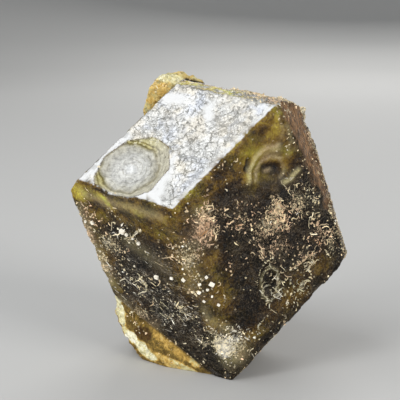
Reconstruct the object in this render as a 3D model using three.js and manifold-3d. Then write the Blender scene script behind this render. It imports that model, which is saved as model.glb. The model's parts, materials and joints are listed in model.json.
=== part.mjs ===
// Garnet crystal: one distorted rhombic dodecahedron with a smaller grain grown onto its upper back edge.
// Millimetres, +Z up. It rests on z = 0, on the flat where it broke away from its rock.
// The origin is under the middle of the bounding box, and the front ridge faces -Y.

import * as THREE from 'three';
import { ConvexGeometry } from 'three/addons/geometries/ConvexGeometry.js';
import { mergeVertices } from 'three/addons/utils/BufferGeometryUtils.js';
import Module from 'manifold-3d';

const wasm = await Module();
wasm.setup();

// Driving dimensions, in millimetres and degrees.
const crystalCentre = new THREE.Vector3(-1.47, -0.98, 22.1);
const crystalTurn = new THREE.Euler(
  THREE.MathUtils.degToRad(40.5),
  THREE.MathUtils.degToRad(27.5),
  THREE.MathUtils.degToRad(9),
  'XYZ',
);
const blockSize = 120;
const weldDistance = 1e-4;

// The twelve rhombic faces {110}: Miller index and distance from the crystal's centre.
// Unequal distances give the real crystal's lopsided shape.
const rhombFaces = {
  top: { index: [-1, 0, 1], distance: 17.3 },
  frontLeft: { index: [-1, -1, 0], distance: 13.6 },
  frontRight: { index: [0, -1, 1], distance: 12.9 },
  upperLeft: { index: [-1, 1, 0], distance: 18.4 },
  upperBack: { index: [0, 1, 1], distance: 22.1 },
  upperRight: { index: [1, 0, 1], distance: 20.3 },
  lowerRight: { index: [1, -1, 0], distance: 19.8 },
  left: { index: [-1, 0, -1], distance: 16.9 },
  backRight: { index: [1, 1, 0], distance: 14.5 },
  backLeft: { index: [0, 1, -1], distance: 15 },
  lowerBack: { index: [1, 0, -1], distance: 18.5 },
  bottom: { index: [0, -1, -1], distance: 24 },
};

// A narrow {211} facet that blunts the edge behind the top face.
const bluntFacets = {
  topBack: { index: [-1, 1, 2], distance: 22.15 },
};

// Broken and worn faces, each set by its outward direction and one point on it, from the crystal's centre.
const brokenFaces = {
  wornRidge: { direction: [-0.05, -0.977, -0.212], point: [-4.84, -16.51, 6.53] },
  rightShoulder: { direction: [0.87, -0.36, 0.35], point: [11.34, -9.26, 19.34] },
  rightTip: { direction: [0.93, -0.3, -0.2], point: [21.75, -3.6, -4.3] },
  lowerLeft: { direction: [-0.62, -0.34, -0.7], point: [-9.5, -5.1, -14.4] },
};

// The stepped hollows in the faces. `middle` is measured from the crystal's centre. The rim is an ellipse of
// straight sides about that middle. Each step is [share of the rim's size, depth below the face].
const hollows = [
  {
    face: 'top',
    middle: [-11, -9.5, 11],
    rim: { halfLong: 6.4, halfShort: 5.3, turn: 38, sides: 9 },
    steps: [[1, 0.3], [0.91, 0.6], [0.82, 0.9], [0.68, 1.05], [0.52, 1.2], [0.3, 1.3]],
  },
  {
    face: 'frontRight',
    middle: [9.5, -10, 11.5],
    rim: { halfLong: 4.1, halfShort: 3.1, turn: 0, sides: 11 },
    steps: [[1, 0.25], [0.78, 0.5], [0.55, 0.8]],
  },
  {
    face: 'frontRight',
    middle: [9.7, -9.6, -6],
    rim: { halfLong: 3, halfShort: 2.2, turn: 90, sides: 9 },
    steps: [[1, 0.25], [0.7, 0.5]],
  },
];

// Corners of the lumps grown onto the crystal, from its centre. Their inner corners are buried in it.
const lumps = {
  smallGrain: [
    [-10.1, 3, 18.2],
    [-9, 2, 22.2],
    [-7, 3, 24.4],
    [-4.2, 4, 24.8],
    [-1.9, 5, 24],
    [0.6, 5, 22.2],
    [-5.7, 1.2, 22],
    [-8.8, 8, 21.5],
    [-3, 9, 22.5],
    [-9, 5, 12],
    [-2, 5, 12],
    [-6, 9, 12],
  ],
  rockRemnant: [
    [-14.6, -1.4, -8.6],
    [-14.8, 1.5, -10],
    [-14.9, 0, -12.5],
    [-14.7, 0, -15.3],
    [-14.2, 0.5, -17.3],
    [-13.3, 0, -18.8],
    [-12.3, -1, -20.3],
    [-10.6, -2.6, -22.1],
    [-6.6, -5.6, -22.1],
    [1, -8.7, -22.1],
    [-3.4, -7.2, -20.2],
    [-10.8, -3.9, -16],
    [-13, 6, -12],
    [-12, 7, -18],
    [-10, 6, -22.1],
    [0, 4, -22.1],
    [-5, 0, -10],
  ],
};

function solidFrom(geometry) {
  const bare = geometry.index ? geometry.toNonIndexed() : geometry.clone();
  bare.deleteAttribute('normal');
  bare.deleteAttribute('uv');
  const merged = mergeVertices(bare, weldDistance);
  return new wasm.Manifold(new wasm.Mesh({
    numProp: 3,
    vertProperties: new Float32Array(merged.attributes.position.array),
    triVerts: new Uint32Array(merged.index.array),
  }));
}

function geometryFrom(solid) {
  const mesh = solid.getMesh();
  const geometry = new THREE.BufferGeometry();
  geometry.setAttribute('position', new THREE.BufferAttribute(mesh.vertProperties, 3));
  geometry.setIndex(new THREE.BufferAttribute(mesh.triVerts, 1));
  return geometry;
}

function faceDirection(index) {
  return new THREE.Vector3(...index).normalize().applyEuler(crystalTurn);
}

// A large block whose one face lies on the plane through `point`, square to `direction`.
function halfSpace(direction, point) {
  const normal = direction.clone().normalize();
  const block = new THREE.BoxGeometry(blockSize, blockSize, blockSize);
  block.translate(0, 0, -blockSize / 2);
  block.applyQuaternion(new THREE.Quaternion().setFromUnitVectors(new THREE.Vector3(0, 0, 1), normal));
  block.translate(point.x, point.y, point.z);
  return solidFrom(block);
}

function mainCrystal() {
  let crystal = halfSpace(new THREE.Vector3(0, 0, -1), new THREE.Vector3());
  for (const { index, distance } of [...Object.values(rhombFaces), ...Object.values(bluntFacets)]) {
    const direction = faceDirection(index);
    const point = direction.clone().multiplyScalar(distance).add(crystalCentre);
    crystal = crystal.intersect(halfSpace(direction, point));
  }
  for (const { direction, point } of Object.values(brokenFaces)) {
    const onFace = new THREE.Vector3(...point).add(crystalCentre);
    crystal = crystal.intersect(halfSpace(new THREE.Vector3(...direction), onFace));
  }
  return crystal;
}

function lumpSolid(corners) {
  const placed = corners.map((corner) => new THREE.Vector3(...corner).add(crystalCentre));
  return solidFrom(new ConvexGeometry(placed));
}

// The solid that one step removes: the rim's outline, shrunk, from just above the face down to the step's floor.
function stepCutter({ halfLong, halfShort, turn, sides }, share, depth) {
  const above = 1;
  const round = 2 * Math.PI;
  const lean = THREE.MathUtils.degToRad(turn);
  const rim = new THREE.EllipseCurve(0, 0, halfLong * share, halfShort * share, 0, round, false, lean);
  const outline = new THREE.Shape(rim.getPoints(sides).slice(0, sides));
  const cutter = new THREE.ExtrudeGeometry(outline, { depth: depth + above, bevelEnabled: false });
  cutter.translate(0, 0, -depth);
  return cutter;
}

function hollowCutters({ face, middle, rim, steps }) {
  const { index, distance } = rhombFaces[face];
  const normal = faceDirection(index);
  const along = new THREE.Vector3(0, 0, 1).cross(normal).normalize();
  const upward = normal.clone().cross(along);
  const place = new THREE.Vector3(...middle);
  place.addScaledVector(normal, distance - place.dot(normal)).add(crystalCentre);
  const toFace = new THREE.Matrix4().makeBasis(along, upward, normal).setPosition(place);
  return steps.map(([share, depth]) => solidFrom(stepCutter(rim, share, depth).applyMatrix4(toFace)));
}

let crystal = mainCrystal();
for (const corners of Object.values(lumps)) {
  crystal = crystal.add(lumpSolid(corners));
}
for (const cutter of hollows.flatMap(hollowCutters)) {
  crystal = crystal.subtract(cutter);
}

const garnet = new THREE.Mesh(
  geometryFrom(crystal),
  new THREE.MeshStandardMaterial({ color: 0x3a3214, roughness: 0.3, metalness: 0 }),
);
garnet.name = 'garnet_crystal';

const part = new THREE.Group();
part.add(garnet);

export default part;
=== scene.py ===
import json
import math

import bmesh
import bpy
import numpy as np
from mathutils import Matrix, Vector
from mathutils.bvhtree import BVHTree

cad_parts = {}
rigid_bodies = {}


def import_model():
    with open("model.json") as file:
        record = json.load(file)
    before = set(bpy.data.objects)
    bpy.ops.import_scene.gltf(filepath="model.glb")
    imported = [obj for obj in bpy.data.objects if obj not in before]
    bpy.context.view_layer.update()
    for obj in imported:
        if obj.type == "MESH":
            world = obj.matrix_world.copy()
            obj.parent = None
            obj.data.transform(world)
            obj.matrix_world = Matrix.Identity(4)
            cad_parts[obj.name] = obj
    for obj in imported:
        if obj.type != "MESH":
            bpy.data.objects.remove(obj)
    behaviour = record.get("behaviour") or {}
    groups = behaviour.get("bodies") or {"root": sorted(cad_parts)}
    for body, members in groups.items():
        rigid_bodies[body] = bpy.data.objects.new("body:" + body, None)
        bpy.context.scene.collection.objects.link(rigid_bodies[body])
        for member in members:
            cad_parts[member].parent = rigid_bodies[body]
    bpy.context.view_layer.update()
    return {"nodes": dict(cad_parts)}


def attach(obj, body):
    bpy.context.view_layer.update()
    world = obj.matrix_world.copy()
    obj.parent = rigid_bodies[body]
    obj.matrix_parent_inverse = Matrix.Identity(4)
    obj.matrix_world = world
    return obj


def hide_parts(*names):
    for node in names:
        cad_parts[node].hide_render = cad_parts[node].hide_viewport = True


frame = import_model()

mm = 0.001
solid = frame["nodes"]["garnet_crystal"]


def newObject(name, data):
    obj = bpy.data.objects.new(name, data)
    bpy.context.scene.collection.objects.link(obj)
    return obj


# camera: a little above the stone, looking slightly down at it
view = {
    "place": (-2.45, -127.65, 53.36),   # mm
    "downTilt": 12.0,
    "lens": 72.0,
    "sensor": 36.0,
}


def makeCamera():
    data = bpy.data.cameras.new("frontView")
    data.lens = view["lens"]
    data.sensor_width = view["sensor"]
    data.clip_start = 0.01
    camera = newObject("frontView", data)
    camera.location = Vector(view["place"]) * mm
    camera.rotation_euler = (math.radians(90 - view["downTilt"]), 0, 0)
    bpy.context.scene.camera = camera


makeCamera()


# the crystal's own directions, the same as the solid's. Places below are in mm from its centre
crystal = {
    "centre": np.array((-1.47, -0.98, 22.1)),
    "turn": (40.5, 27.5, 9.0),
    "faces": {
        "top": (-1, 0, 1),
        "frontLeft": (-1, -1, 0),
        "frontRight": (0, -1, 1),
        "upperLeft": (-1, 1, 0),
        "upperBack": (0, 1, 1),
        "upperRight": (1, 0, 1),
        "lowerRight": (1, -1, 0),
        "left": (-1, 0, -1),
        "backRight": (1, 1, 0),
        "backLeft": (0, 1, -1),
        "lowerBack": (1, 0, -1),
        "topBack": (-1, 1, 2),
    },
    "broken": {
        "wornRidge": (-0.05, -0.977, -0.212),
        "rightShoulder": (0.87, -0.36, 0.35),
        "rightTip": (0.93, -0.3, -0.2),
        "lowerLeft": (-0.62, -0.34, -0.7),
        "base": (0, 0, -1),
    },
}


def unit(v):
    v = np.asarray(v, float)
    return v / np.linalg.norm(v)


def crystalTurn():
    x, y, z = (math.radians(a) for a in crystal["turn"])
    turn = Matrix.Rotation(x, 3, "X") @ Matrix.Rotation(y, 3, "Y") @ Matrix.Rotation(z, 3, "Z")
    return np.array(turn)


def faceDirections():
    turn = crystalTurn()
    directions = {name: unit(turn @ unit(index)) for name, index in crystal["faces"].items()}
    directions.update({name: unit(v) for name, v in crystal["broken"].items()})
    return directions


facing = faceDirections()


def faceReaches():
    # how far each face lies from the centre: the largest flat of the solid that looks its way
    reaches = {}
    for name, n in facing.items():
        best = 0.0
        for polygon in solid.data.polygons:
            if np.dot(polygon.normal, n) > 0.9995 and polygon.area > best:
                best = polygon.area
                reaches[name] = float(np.dot(np.array(polygon.center) / mm - crystal["centre"], n))
    return reaches


reach = faceReaches()
print("faces:", {name: round(d, 1) for name, d in reach.items()})


def faceAxes(name):
    n = facing[name]
    along = unit(np.cross((0, 0, 1), n))
    return along, np.cross(n, along), n


def onFace(p, name):
    along, up = faceAxes(name)[:2]
    return p @ along, p @ up


def facePoint(name, place):
    along, up, n = faceAxes(name)
    return n * reach[name] + along * place[0] + up * place[1]


def below(p, name):
    return reach[name] - p @ facing[name]


def nearFace(p, name, soft=0.3):
    # 1 where this face is the nearest one
    others = np.min([below(p, other) for other in reach if other != name], axis=0)
    return smooth(others - below(p, name), -soft, soft)


# repeatable noise on arrays of points, all sizes in mm
def cellHash(cell, seed):
    n = cell[:, 0] * 73856093 ^ cell[:, 1] * 19349663 ^ cell[:, 2] * 83492791 ^ (seed * 2654435761 + 97)
    n = n & 0xFFFFFFFF
    n = ((n ^ (n >> 13)) * 1274126177) & 0xFFFFFFFF
    n = ((n ^ (n >> 16)) * 461845907) & 0xFFFFFFFF
    return ((n >> 7) & 0xFFFFFF) / float(0xFFFFFF)


def softNoise(p, size, seed):
    q = p / size
    cell = np.floor(q).astype(np.int64)
    f = q - cell
    f = f * f * (3 - 2 * f)
    total = np.zeros(len(p))
    for corner in np.ndindex(2, 2, 2):
        c = np.array(corner)
        weight = np.prod(np.where(c, f, 1 - f), axis=1)
        total += weight * cellHash(cell + c, seed)
    return total * 2 - 1


def fractalNoise(p, size, seed, octaves=4, gain=0.5):
    total = np.zeros(len(p))
    height, norm = 1.0, 0.0
    for octave in range(octaves):
        total += height * softNoise(p + 17.3 * octave, size / 2 ** octave, seed + octave)
        norm += height
        height *= gain
    return total / norm


def cellNoise(p, size, seed):
    # distance to the nearest of points scattered `size` apart, as a share of that size
    q = p / size
    cell = np.floor(q).astype(np.int64)
    near = np.full(len(p), 9.0)
    for step in np.ndindex(3, 3, 3):
        c = cell + np.array(step) - 1
        point = c + np.stack([cellHash(c, seed + k) for k in (1, 2, 3)], axis=1)
        near = np.minimum(near, np.linalg.norm(point - q, axis=1))
    return near


def warped(p, size, amount, seed):
    shift = np.stack([fractalNoise(p, size, seed + 10 * k, 3) for k in range(3)], axis=1)
    return p + amount * shift


def smooth(x, low, high):
    t = np.clip((x - low) / (high - low), 0, 1)
    return t * t * (3 - 2 * t)


def patchAmount(p, face, place, size, turn=0.0, depth=2.5):
    # soft oval patch lying on a face: 1 in the middle, 0 well outside
    along, up, n = faceAxes(face)
    d = p - facePoint(face, place)
    c, s = math.cos(math.radians(turn)), math.sin(math.radians(turn))
    a, b = d @ (along * c + up * s), d @ (up * c - along * s)
    return np.exp(-((a / size[0]) ** 2 + (b / size[1]) ** 2 + (d @ n / depth) ** 2))


def largestPatch(p, patches):
    # the strongest of several patches at each point
    largest = np.zeros(len(p))
    for face, place, size, turn, amount, *tone in patches.values():
        largest = np.maximum(largest, amount * patchAmount(p, face, place, size, turn))
    return largest


def strokeAmount(p, face, places, width, depth=1.8):
    # soft line through a few places on a face, also where the face is hollowed out
    n = facing[face]
    nearest = np.full(len(p), 99.0)
    ends = [facePoint(face, place) for place in places]
    for a, b in zip(ends[:-1], ends[1:]):
        d = p - a
        d = d - (d @ n)[:, None] * n
        t = np.clip(d @ (b - a) / ((b - a) @ (b - a)), 0, 1)
        nearest = np.minimum(nearest, np.linalg.norm(d - t[:, None] * (b - a), axis=1))
    return np.exp(-(nearest / width) ** 2 - (below(p, face) / depth) ** 4)


# body: the solid remeshed finely, worn along its edges, etched and encrusted
# a patch is (face, place on it, half size, turn in degrees, amount)
body = {
    "voxel": 0.17,          # mm
    "edgeRounds": 2,
    "triangles": 196000,
    "unevenness": 0.07,
    "crustHeight": 0.42,
    "striationTurn": -28.2,   # degrees on the front left face
    "striationDepth": 0.13,
    "hollowRounds": 14,
    "edgeWear": 1.1,
}
# painted through-light: patches where light that would pass through thin glass is painted into its colour
paintedThroughLightPatches = {
    "leftCorner": ("frontLeft", (-12.2, 12.2), (2.6, 2.0), 0, 0.86),
    "leftStreak": ("frontLeft", (-7.8, 11.2), (3.2, 0.8), -38, 0.86),
    "underTopLeft": ("frontLeft", (-2.0, 10.4), (4.5, 1.4), -12, 0.6),
    "underCorner": ("frontLeft", (3.5, 9.4), (4.0, 2.2), 0, 0.52),
    "ridgeTop": ("frontRight", (-7.2, 7.0), (2.0, 2.6), 0, 0.52),
    "rightEdgeLow": ("frontRight", (-4.0, 9.6), (3.5, 1.3), 38, 0.46),
    "rightEdgeMid": ("frontRight", (0.5, 14.0), (4.6, 2.6), 38, 0.58),
    "rightEdgeHigh": ("frontRight", (4.8, 17.4), (3.4, 2.8), 38, 0.62),
    "rightCorner": ("frontRight", (5.2, 19.0), (1.0, 1.5), 0, 0.74),
    "ringField": ("frontRight", (2.6, 12.8), (5.0, 4.0), 0, 0.66),
    "ringBright": ("frontRight", (0.4, 10.6), (1.2, 1.8), 0, 0.66),
    "ringRight": ("frontRight", (7.0, 13.4), (2.4, 3.6), 0, 0.56),
    "ringCentre": ("frontRight", (4.2, 11.2), (0.8, 0.7), 0, 0.62),
    "ridgeBrown": ("frontRight", (-5.6, -1.8), (2.6, 3.4), 0, 0.4),
    "ridgeOlive": ("frontRight", (-3.6, -7.0), (2.6, 4.6), 0, 0.42),
    "ridgeOliveLow": ("frontRight", (-4.5, -12.0), (3.0, 2.0), 0, 0.48),
    "lowRight": ("frontRight", (8.5, -9.0), (5.0, 3.0), 40, 0.36),
    "rightTipOlive": ("frontRight", (13.5, -4.5), (2.6, 2.6), 0, 0.34),
    "lowTip": ("frontRight", (1.5, -14.5), (4.4, 2.2), 35, 0.36),
    "brownLeft": ("frontLeft", (-10.0, 8.6), (3.2, 1.8), -20, 0.46),
    "leftOlive": ("frontLeft", (-10.2, -4.5), (1.8, 3.0), 0, 0.42),
    "underStreak": ("frontLeft", (-5.4, 8.8), (3.0, 1.2), -30, 0.4),
    "fluffBrown": ("frontLeft", (-6.4, -8.6), (2.4, 2.6), 0, 0.3),
    "leftUpper": ("frontLeft", (1.4, 7.0), (6.4, 2.4), -18, 0.46),
    "nearRidge": ("frontLeft", (4.8, 0.8), (3.4, 6.4), 0, 0.44),
    "lowRidge": ("frontRight", (-7.2, -9.6), (1.6, 3.0), 0, 0.4),
    "leftSide": ("frontLeft", (-11.0, 1.0), (2.6, 7.5), 0, 0.44),
}
crustPatches = {   # with a tone: 0 white, 0.35 cream yellow, 0.7 pinkish beige, 1 orange brown
    "ridge": ("frontRight", (-6.8, 3.6), (2.6, 3.4), 0, 0.95, 0.6),
    "ridgeTop": ("frontRight", (-5.4, 6.4), (1.4, 1.2), 0, 0.55, 0.8),
    "ridgeLow": ("frontRight", (-6.8, -1.2), (1.1, 1.8), 0, 0.25, 0.95),
    "ridgeLeft": ("frontLeft", (5.8, 3.4), (2.8, 3.4), 10, 0.74, 0.5),
    "ridgeLeftLow": ("frontLeft", (5.6, -1.4), (1.9, 2.4), 0, 0.52, 0.4),
    "grainBed": ("frontRight", (-7.8, -5.4), (1.5, 2.6), 0, 0.5, 0.3),
    "tip": ("frontRight", (-3.6, -15.8), (5.2, 3.0), 8, 1.1, 0.24),
    "tipGlass": ("frontRight", (-2.6, -18.4), (2.4, 0.8), 0, 0.25, 0.3),
    "tipHigh": ("frontRight", (-6.8, -12.4), (2.2, 0.9), -20, 0.8, 0.2),
    "tipRight": ("frontRight", (-0.6, -16.2), (2.0, 1.8), 0, 0.75, 0.5),
    "tipLeft": ("frontLeft", (5.0, -12.0), (2.4, 1.4), -25, 0.7, 0.15),
    "clump": ("frontRight", (5.6, 5.3), (1.7, 1.9), 0, 1.0, 0.55),
    "yellowFlakes": ("frontRight", (9.0, 6.0), (2.8, 2.4), 0, 0.66, 0.36),
    "edgeUpper": ("frontRight", (11.0, 7.6), (1.1, 3.4), 20, 0.62, 0.3),
    "edgeCream": ("frontRight", (12.4, 3.2), (1.6, 1.6), 0, 0.5, 0.45),
    "edgeMiddle": ("frontRight", (13.4, 0.4), (2.0, 2.0), 0, 0.58, 0.6),
    "edgeLower": ("frontRight", (15.6, -1.0), (1.3, 2.6), 0, 0.6, 0.4),
    "middle": ("frontRight", (4.4, 2.6), (4.8, 3.6), 0, 0.66, 0.6),
    "middleLow": ("frontRight", (6.0, -1.0), (4.4, 2.0), 0, 0.6, 0.62),
    "middleLeft": ("frontRight", (-0.6, 4.2), (3.4, 2.6), 0, 0.5, 0.5),
    "darkFlakes": ("frontRight", (-2.8, 6.2), (2.2, 1.0), 40, 0.62, 0.4),
    "worms": ("frontRight", (10.6, -3.2), (2.8, 1.3), 15, 0.48, 0.5),
    "folds": ("frontRight", (9.2, -8.0), (3.8, 2.6), 40, 0.36, 0.3),
    "foldsLow": ("frontRight", (3.4, -13.6), (4.2, 1.8), 40, 0.42, 0.35),
    "ringBack": ("frontRight", (-1.6, 10.4), (1.4, 1.0), 0, 0.4, 0.2),
    "cornerRight": ("frontRight", (8.0, 19.6), (1.6, 0.9), -35, 0.95, 0.25),
    "leftEdge": ("frontLeft", (-13.0, 4.8), (2.0, 3.8), 0, 0.85, 0.4),
    "leftEdgeTop": ("frontLeft", (-13.4, 8.0), (0.8, 2.0), 0, 0.8, 0.4),
    "leftEdgeLow": ("frontLeft", (-11.0, -0.8), (2.0, 3.4), 0, 0.75, 0.5),
    "leftBrown": ("frontLeft", (-11.0, 8.4), (2.8, 1.6), -20, 0.5, 0.8),
    "leftFlakes": ("frontLeft", (-8.6, 3.6), (2.8, 3.0), 0, 0.7, 0.35),
    "whiteFlakes": ("frontLeft", (-4.4, 5.2), (2.6, 1.6), -30, 0.52, 0.08),
    "lowerBand": ("frontLeft", (3.0, -6.8), (3.6, 1.4), -28, 0.55, 0.2),
    "fluff": ("frontLeft", (-6.0, -9.6), (2.4, 2.2), -20, 0.78, 0.5),
    "fluffLow": ("frontLeft", (-8.4, -10.5), (1.8, 2.4), 0, 0.5, 0.45),
    "curls": ("frontLeft", (-4.8, -3.2), (2.6, 1.4), -20, 0.42, 0.3),
}
# raised lines, folds and grooves: (face, places along it, half width, height, crust amount, tone)
thirdRing = [(4.8 + 1.6 * math.cos(k * 0.785), -6.5 + 2.7 * math.sin(k * 0.785)) for k in range(9)]
strokes = {
    "ringArc": ("frontRight", ((0.9, 10.4), (1.4, 12.8), (3.2, 14.3), (6.0, 14.2)), 0.45, 0.45, 0.06, 0.36),
    "ringInside": ("frontRight", ((2.5, 10.4), (2.9, 12.1), (4.6, 12.8), (6.2, 12.2)), 0.3, 0.35, 0.06, 0.4),
    "ringRight": ("frontRight", ((6.6, 9.0), (8.0, 9.7), (9.2, 11.0)), 0.3, 0.4, 0.34, 0.0),
    "ringShade": ("frontRight", ((3.6, 11.7), (5.2, 11.4)), 0.8, -0.2, 0.0, 0.3),
    "ringHole": ("frontRight", ((0.2, 11.6), (0.6, 12.9)), 0.4, -0.7, 0.0, 0.3),
    "thirdRing": ("frontRight", thirdRing, 0.22, 0.35, 0.68, 0.15),
    "thirdLine": ("frontRight", ((2.4, -6.4), (2.8, -4.2), (3.8, -2.8), (5.2, -2.2)), 0.17, 0.2, 0.75, 0.25),
    "worm": ("frontRight", ((8.3, -4.4), (10.0, -3.6), (12.2, -2.3)), 0.3, 0.45, 0.85, 0.55),
    "wormBack": ("frontRight", ((12.2, -2.3), (12.0, -3.8), (11.4, -5.0)), 0.24, 0.35, 0.95, 0.3),
    "foldOne": ("frontRight", ((8.0, -6.2), (8.7, -8.2), (7.8, -10.4)), 0.22, 0.4, 0.42, 0.3),
    "foldTwo": ("frontRight", ((10.2, -6.2), (9.8, -8.2), (10.6, -10.0)), 0.2, 0.4, 0.45, 0.3),
    "foldThree": ("frontRight", ((12.2, -5.8), (11.6, -7.4), (12.2, -8.8)), 0.22, 0.35, 0.4, 0.4),
    "creamStreak": ("frontLeft", ((-3.7, 5.2), (-2.8, 6.2), (-1.8, 7.0)), 0.34, 0.2, 0.9, 0.3),
    "leftCurl": ("frontLeft", ((-3.9, -2.0), (-3.1, -2.9), (-3.4, -4.2)), 0.24, 0.35, 1.0, 0.15),
    "thread": ("frontLeft", ((1.2, -7.2), (0.2, -9.0), (-1.7, -10.7)), 0.16, 0.12, 0.7, 0.1),
    "threadRight": ("frontRight", ((-3.4, -5.8), (-3.0, -8.2), (-4.0, -10.4)), 0.13, 0.12, 0.6, 0.4),
}
rockPatches = {   # tone: 0 dark brown, 0.25 olive, 0.45 ochre, 0.65 pale olive, 0.85 cream yellow, 1 white
    "creamLow": ("frontLeft", (-6.4, -16.2), (3.0, 1.3), -26, 0.9, 0.9),
    "greyLow": ("frontLeft", (0.5, -18.2), (4.8, 1.0), -24, 0.9, 0.78),
    "brown": ("frontLeft", (-6.6, -13.4), (2.0, 1.4), 0, 1.0, 0.06),
    "ochreBelow": ("frontLeft", (-2.4, -16.9), (3.4, 0.7), -28, 0.8, 0.5),
    "strip": ("frontLeft", (-0.5, -14.5), (5.2, 1.3), -29, 1.0, 0.42),
    "stripEnd": ("frontLeft", (3.0, -16.4), (1.1, 1.0), 0, 1.0, 0.66),
    "yellowRim": ("frontLeft", (-11.8, -9.4), (1.2, 5.0), 12, 1.0, 0.84),
    "cornerCream": ("frontLeft", (-9.6, -14.8), (1.5, 1.2), 0, 1.0, 0.93),
    "knobOchre": ("top", (-7.4, 14.0), (1.9, 3.0), 0, 1.0, 0.53),
    "knobFoot": ("top", (-9.4, 10.0), (1.6, 2.8), 0, 1.0, 0.22),
    "knobRim": ("top", (-5.0, 18.2), (4.2, 1.1), 0, 0.8, 0.86),
}
barePatches = {
    "smoothDark": ("frontRight", (2.0, -10.2), (2.0, 3.8), 0, 1.0),
    "darkTop": ("frontRight", (-1.4, 8.4), (4.2, 1.8), 20, 0.85),
    "darkRight": ("frontRight", (9.6, 1.0), (1.4, 1.7), 0, 0.95),
    "ring": ("frontRight", (3.4, 13.0), (5.2, 4.4), 0, 1.0),
    "rightBand": ("frontRight", (2.0, 15.6), (5.4, 1.9), 40, 0.95),
    "darkLeft": ("frontLeft", (-2.0, 0.8), (3.4, 1.2), -28, 0.6),
    "oliveBand": ("frontLeft", (-1.0, 10.2), (9.0, 1.8), -12, 0.85),
    "lowStreaks": ("frontLeft", (1.0, -12.4), (5.0, 2.0), -30, 0.8),
    "ridgeLow": ("frontRight", (-5.6, -2.4), (1.9, 2.6), 0, 0.85),
}
# pale veils in the glass: (face, places along it, half width, amount)
veils = {
    "ringOuter": ("frontRight", ((0.7, 9.8), (0.9, 11.4), (1.7, 13.2), (3.2, 14.4), (5.4, 14.8)), 0.42, 0.75),
    "ringInner": ("frontRight", ((2.0, 9.8), (2.3, 11.4), (3.2, 12.9), (4.9, 13.4), (6.4, 12.8)), 0.3, 0.6),
    "ringRight": ("frontRight", ((6.4, 12.4), (7.0, 11.0), (6.2, 9.8)), 0.24, 0.3),
    "ringLens": ("frontRight", ((6.8, 9.2), (8.0, 9.7), (9.0, 10.8)), 0.4, 0.7),
    "ringFan": ("frontRight", ((3.6, 13.6), (5.4, 13.9)), 0.9, 0.5),
    "ringCentre": ("frontRight", ((4.0, 10.9), (4.7, 11.1)), 0.3, 0.55),
    "rightBand": ("frontRight", ((7.2, 13.0), (7.6, 15.6), (6.8, 17.6)), 0.3, 0.24),
    "rightBandIn": ("frontRight", ((6.0, 16.2), (6.2, 17.6), (5.4, 19.2)), 0.3, 0.2),
    "underTop": ("frontLeft", ((-11.4, 11.9), (-5.0, 10.9), (2.4, 9.9)), 0.8, 0.4),
    "cornerStreak": ("frontLeft", ((-9.8, 12.0), (-6.6, 10.0)), 0.5, 0.4),
    "thirdRing": ("frontRight", thirdRing, 0.26, 0.3),
    "lowBrown": ("frontRight", ((-6.4, -9.4), (-4.6, -11.6), (-2.2, -13.0)), 0.7, 0.25),
    "leftEdge": ("frontLeft", ((-12.8, 8.6), (-12.4, 3.0), (-10.8, -4.0)), 1.3, 0.4),
    "ridge": ("frontLeft", ((6.2, 6.5), (6.2, 2.0), (5.6, -2.0)), 1.4, 0.16),
    "leftDark": ("frontLeft", ((-4.6, 4.4), (-2.0, 3.0), (1.0, 0.6)), 1.3, 0.16),
    "ridgeBrown": ("frontRight", ((-7.4, 5.5), (-6.8, 1.5)), 1.4, 0.25),
    "aboveRock": ("frontLeft", ((-9.6, -8.0), (-7.0, -11.0), (-4.2, -11.6)), 1.3, 0.35),
    "tip": ("frontRight", ((-6.8, -14.6), (-3.6, -16.6), (-0.8, -17.0)), 1.8, 0.5),
    "tipGlass": ("frontRight", ((-4.4, -18.2), (-2.4, -19.6)), 1.0, 0.24),
}
# smooth parts of the top face, kept evenly pale: painted glare of the overhead lamp
plainGlarePatches = {
    "leftEdge": ("top", (-12.8, 0.8), (1.8, 7.0), -38, 1.0),
    "farCorner": ("top", (-3.2, 12.8), (2.4, 1.1), 0, 1.0),
    "middle": ("top", (3.0, 11.0), (1.3, 3.0), 0, 0.7),
}
plainGlareTriangle = [(0.0, 3.4), (-4.6, -4.8), (-0.2, -5.9)]
# crust with a grey green cast
greenPatches = {
    "folds": ("frontRight", (9.4, -8.0), (4.0, 2.6), 30, 0.8),
    "thirdRing": ("frontRight", (4.8, -6.4), (2.6, 3.6), 0, 0.75),
    "low": ("frontRight", (4.0, -13.0), (4.0, 2.0), 38, 0.7),
    "underTop": ("frontLeft", (-3.0, 10.6), (6.0, 1.2), -12, 0.8),
    "streaks": ("frontLeft", (-2.0, -7.0), (7.0, 4.0), -28, 0.5),
    "backEdge": ("top", (1.0, 15.0), (7.0, 2.4), -14, 0.8),
    "edge": ("frontRight", (9.0, 7.0), (3.0, 2.0), 0, 0.4),
    "ring": ("frontRight", (3.0, 12.4), (3.6, 3.0), 0, 0.45),
}


def applyModifiers(obj):
    graph = bpy.context.evaluated_depsgraph_get()
    mesh = bpy.data.meshes.new_from_object(obj.evaluated_get(graph))
    old = obj.data
    obj.modifiers.clear()
    obj.data = mesh
    bpy.data.meshes.remove(old)
    mesh.name = obj.name


def remeshedSolid():
    copy = newObject("garnetCrystal", solid.data.copy())
    copy.data.materials.clear()
    remesh = copy.modifiers.new("voxels", "REMESH")
    remesh.mode = "VOXEL"
    remesh.voxel_size = body["voxel"] * mm
    applyModifiers(copy)
    return copy


def readPoints(mesh):
    co = np.zeros(len(mesh.vertices) * 3)
    mesh.vertices.foreach_get("co", co)
    return co.reshape(-1, 3) / mm - crystal["centre"]


def writePoints(mesh, p):
    mesh.vertices.foreach_set("co", ((p + crystal["centre"]) * mm).ravel())
    mesh.update()


def readNormals(mesh):
    n = np.zeros(len(mesh.vertices) * 3)
    mesh.vertices.foreach_get("normal", n)
    return n.reshape(-1, 3)


def snapToSolid(mesh):
    corners = [v.co for v in solid.data.vertices]
    flats = BVHTree.FromPolygons(corners, [q.vertices for q in solid.data.polygons])
    for v in mesh.vertices:
        v.co = flats.find_nearest(v.co)[0]
    mesh.update()


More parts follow.
